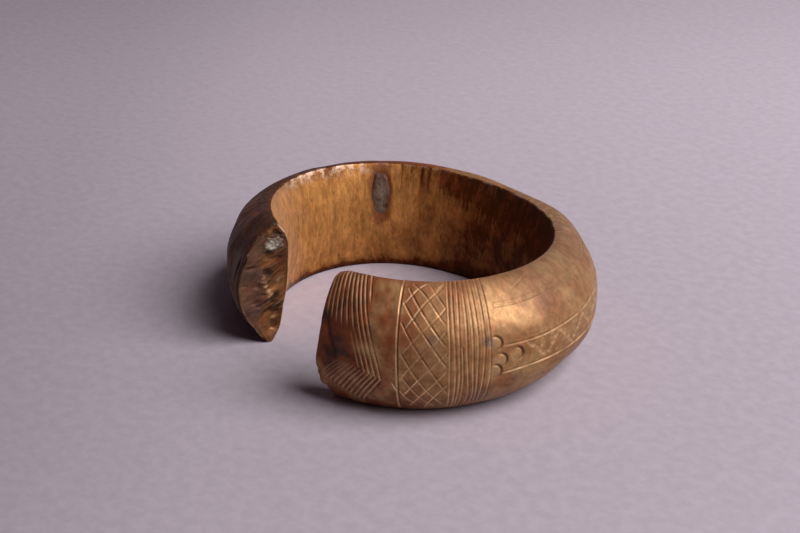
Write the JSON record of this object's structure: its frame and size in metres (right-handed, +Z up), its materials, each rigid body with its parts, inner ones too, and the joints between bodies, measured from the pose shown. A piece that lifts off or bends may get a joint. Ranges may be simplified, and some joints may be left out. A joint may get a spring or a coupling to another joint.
{
  "type": "open currency bracelet",
  "caption": "Heavy open cast bracelet, a C-shaped band of lens section with incised terminals and small metal fills, worn on the wrist or used as money.",
  "frame": {"origin": "middle of the outline seen from above, on the plane the foot rests on", "axes": "+Z up from foot to rim, +X across the gap, -Y from the middle towards the gap"},
  "size_m": [0.0866, 0.0662, 0.0258],
  "materials": {
    "cast_brass": "worn, brown patina in the lines, golden where rubbed",
    "dark_fill": "dull dark grey",
    "pale_fill": "dull pale grey"
  },
  "bodies": {
    "root": {"ring_casting": "cast_brass", "wall_plug": "dark_fill", "end_plug": "pale_fill"}
  },
  "joints": []
}
